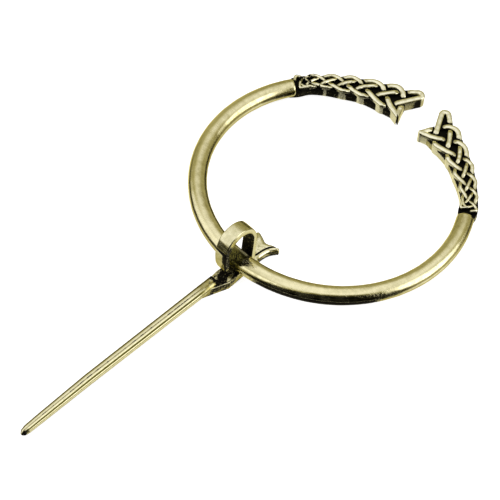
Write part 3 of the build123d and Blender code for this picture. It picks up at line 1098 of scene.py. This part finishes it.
# The plate's top under the rod and the loop is blackened, with bright flecks: partly patina, partly painted
# shadow of the rod.
patina_and_shade_under_rod = smooth(y, -7.9, -7.0) * smooth(y, 4.2, 2.6) * on_top * (1 - rim)
walls = smooth(plate_height, plate_thick - 0.01, plate_thick - 0.09)
tail_wall = smooth(plate_height, 1.1, 0.7) * on_tail
flecks = smooth(unevenness(71, x * 0.55, y * 0.4), 0.0, 0.5) * on_top
wall_patches = smooth(unevenness(73, x * 0.3, y * 0.3, z * 0.5), -0.2, 0.6)
specks = smooth(unevenness(61, x * 0.8, y * 0.8), 0.2, 0.5) * on_tail * on_top
plate_low = [(0.72 - 0.34 * flecks) * patina_and_shade_under_rod, (0.62 - 0.40 * wall_patches) * walls]
plate_masks = {
    "low": highest(1.6 * line_in, 0.35 * specks, 0.8 * tail_wall, *plate_low),
    "film": np.clip(0.75 * walls + 0.35 * specks + 0.6 * patina_and_shade_under_rod, 0, 1),
    "rubbed": np.maximum(rim, smooth(bevel, 0.02, 0.2)),
}
add_piece("pin_plate", [(np.dstack([flat, z]), plate_masks)], "pin", pin_brass)

# %% [markdown]
# ## Loop
# A band rises from the plate, passes over the rod and comes down outside it to a free end, so that the pin
# can swing and slide on the ring but not fall off. It is a bar carried along a smooth line, read off a table
# of places and wall thicknesses. The band's width lies along the rod, so the sideways axis never turns. Its
# inside stayed dark, and below a brow across its outer leg a painted shadow widens to the right.

# %% The loop's rows
loop = records(
    "across up wall",
    (0.53, -0.25, 0.79),
    (0.53, 0.06, 0.67),
    (0.56, 0.45, 0.58),
    (0.53, 0.62, 0.58),
    (0.36, 0.79, 0.67),
    (0.11, 0.89, 0.85),
    (-0.23, 0.93, 1.00),
    (-0.58, 0.87, 1.10),
    (-0.78, 0.75, 0.90),
    (-0.88, 0.62, 0.76),
    (-0.88, 0.45, 0.76),
    (-0.85, 0.28, 0.73),
    (-0.80, 0.15, 0.61),
)
print("rows of the loop:", len(loop))

# %% Shape of the loop
loop_stations = 240
loop_rounding, loop_inner_rounding, loop_crown = 0.24, 0.18, 0.05
end_from, end_narrowing = 0.94, 0.14
loop_rows = [(row["across"] * loop_reach, rod_z + row["up"] * loop_height, row["wall"]) for row in loop]
loop_line = bend_through(np.array(loop_rows), loop_stations)
loop_way = directions(loop_line[:, :2])
loop_out = np.stack([0 * loop_way[:, 0], loop_way[:, 1], -loop_way[:, 0]], axis=-1)
half_wall = loop_line[:, 2] * loop_wall / 2
loop_run = np.linspace(0, 1, loop_stations)
half_band = loop_width / 2 * (1 - end_narrowing * smooth(loop_run, end_from, 1.0) ** 2)
across, height = bar_section(
    half_band, half_wall, -half_wall, loop_rounding, loop_inner_rounding, loop_crown
)
centre = np.stack([loop_shift + 0 * loop_run, loop_line[:, 0], loop_line[:, 1]], axis=-1)
loop_points = centre[:, None] + across[..., None] * ring_x + height[..., None] * loop_out[:, None]
print("the loop's top is at", round(float(loop_points[..., 2].max()), 2), "mm")

# %% Finish of the loop
brow_at = 0.778
# Slope and spread of the painted shadow below the brow.
brow_shadow_slope, brow_shadow_spread = 0.02, 0.22
run = loop_run[:, None]
depth = height / half_wall[:, None]
inside, outside = smooth(depth, -0.5, -0.95), smooth(depth, 0.4, 0.9)
sidewall = smooth(np.abs(across) / (loop_width / 2), 0.93, 0.99) * smooth(np.abs(depth), 0.95, 0.7)
outer_leg = smooth(run, 0.66, 0.74)
to_right = across / loop_width + 0.5
# Painted shadow below the brow of the outer leg, widening to the right.
brow_shadow_stop = brow_at + 0.010 + brow_shadow_slope * to_right + brow_shadow_spread * smooth(to_right, 0.62, 0.92)
brow_shadow = smooth(run, brow_at - 0.006, brow_at) * smooth(run - brow_shadow_stop, 0.012, -0.005) * outside
loop_low = [0.68 * inside, 0.60 * smooth(run, 0.14, 0.03), 0.66 * sidewall * outer_leg, 0.80 * brow_shadow]
loop_masks = {
    "low": highest(*loop_low),
    "film": 0.8 * inside + 0.30 * (bell(run, 0.50, 0.12) + smooth(run, 0.80, 0.84)) * outside,
    "rubbed": 0.8 * sidewall * (1 - outer_leg),
}
add_piece("pin_loop", [(loop_points, loop_masks)], "pin", pin_brass)

# %% [markdown]
# ## Shank
# The shank is a long bar, nearly round, with a flatter left shoulder and a fine groove along its top, where
# black stays in short dashes. Right of the groove come a small lip and a shallow hollow with a dark olive
# band. The shank thins slowly and ends in a blunt point. Its section is a superellipse, whose exponent says
# how square it is, and a small table shrinks it at the point.

# %% Stations of the shank
body_stations, point_stations, point_crowding = 200, 60, 0.6
point_run = 5.0
tip_rows = records(
    "back size lift",
    (2.30, 1.00, 0.2),
    (0.75, 0.93, 0.0),
    (0.25, 0.72, 0.2),
    (0.00, 0.30, 0.8),
)
rows = [
    [step_at, shank_width, shank_height, shank_lift],
    [plate_root_at, shank_width, shank_height, shank_lift],
    [slim_at, shank_width - shank_taper, shank_height, shank_lift],
]
for row in tip_rows:
    size = row["size"] * tip_width
    rows.append([shank_length - row["back"] * tip_width, size, size, row["lift"] * shank_lift])
rows = np.array(rows)
body_at = np.linspace(step_at, shank_length - point_run, body_stations)
point_at = shank_length - point_run * (1 - np.linspace(0, 1, point_stations)[1:] ** point_crowding)
at = np.concatenate([body_at, point_at])[:, None]
width, tall, lift = (np.interp(at, rows[:, 0], column) for column in rows[:, 1:].T)
print("stations along the shank:", len(at))

# %% Shape of the shank
shank_around = 140
round_power, left_power = 2.2, 0.35
shank_relief = 0.015
shank_lines = records(
    "name at width rise",
    ("groove", 0.045, 0.05, -0.09),
    ("lip", 0.10, 0.035, 0.035),
    ("hollow", 0.30, 0.06, -0.055),
)
turn = (np.arange(shank_around) + 0.5) * 2 * np.pi / shank_around
left_top = smooth(-np.sin(turn), -0.3, 0.5) * smooth(np.cos(turn), -0.3, 0.3)
power = 2 / (round_power + left_power * left_top)
x = np.sign(np.sin(turn)) * np.abs(np.sin(turn)) ** power * width / 2
z = np.sign(np.cos(turn)) * np.abs(np.cos(turn)) ** power * tall / 2
on_upper = (z > 0) * smooth(at, step_at + 2, step_at + 5)
marks = {row["name"]: bell(x / width, row["at"], row["width"]) * on_upper for row in shank_lines}
z = z + sum(row["rise"] * marks[row["name"]] for row in shank_lines)
y = -at + 0 * x
relief = shank_relief * unevenness(17, y / 7, x / 2, z / 2)
shank_points = np.stack([x - shank_shift, y, lift + tall / 2 + z + relief], axis=-1)
print("the shank ends", round(float(-y.min()), 2), "mm from the head")

# %% Finish of the shank
band_at = 0.33
dashes = smooth(unevenness(11, at / 1.3), -0.1, 0.5) * smooth(at, 58.5, 55.0) * marks["groove"]
root = smooth(at, step_at + 1.8, step_at)
root_spots = smooth(unevenness(23, y * 0.9, x * 0.9), 0.15, 0.45) * smooth(at, 14, 8)
point_spot = smooth(at, 59.0, 60.3) * smooth(x / width, -0.1, 0.2)
underside = smooth(-z / tall, 0.2, 0.45)
olive_band = smooth(np.abs(x / width - band_at), 0.095, 0.06) * on_upper
left_band = smooth(x / width, -0.19, -0.27) * smooth(z / tall, -0.1, 0.05)
right_band = smooth(-z / tall, 0.04, 0.14) * smooth(x, 0.0, 0.5) * smooth(at, 30, 42)
shank_film = 0.6 * olive_band + 0.5 * left_band + 0.9 * smooth(at, 13, 8) + 0.7 * marks["groove"]
shank_masks = {
    "low": highest(1.1 * dashes, 0.8 * root, 0.45 * root_spots, point_spot, 0.75 * underside),
    "film": np.clip(shank_film, 0, 1),
    "rubbed": 0.5 * smooth(z / tall, 0.0, 0.35),
    "dim": highest(olive_band, 0.80 * left_band, 0.8 * right_band, 0.3 * marks["groove"]),
}
add_piece("pin_shank", [(shank_points, shank_masks)], "pin", pin_brass)

# %% Finish
visual_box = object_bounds()
boxes = {"cad": cad_box, "visual": visual_box}
boxes = {name: [list(map(float, corner)) for corner in box] for name, box in boxes.items()}
print(boxes)
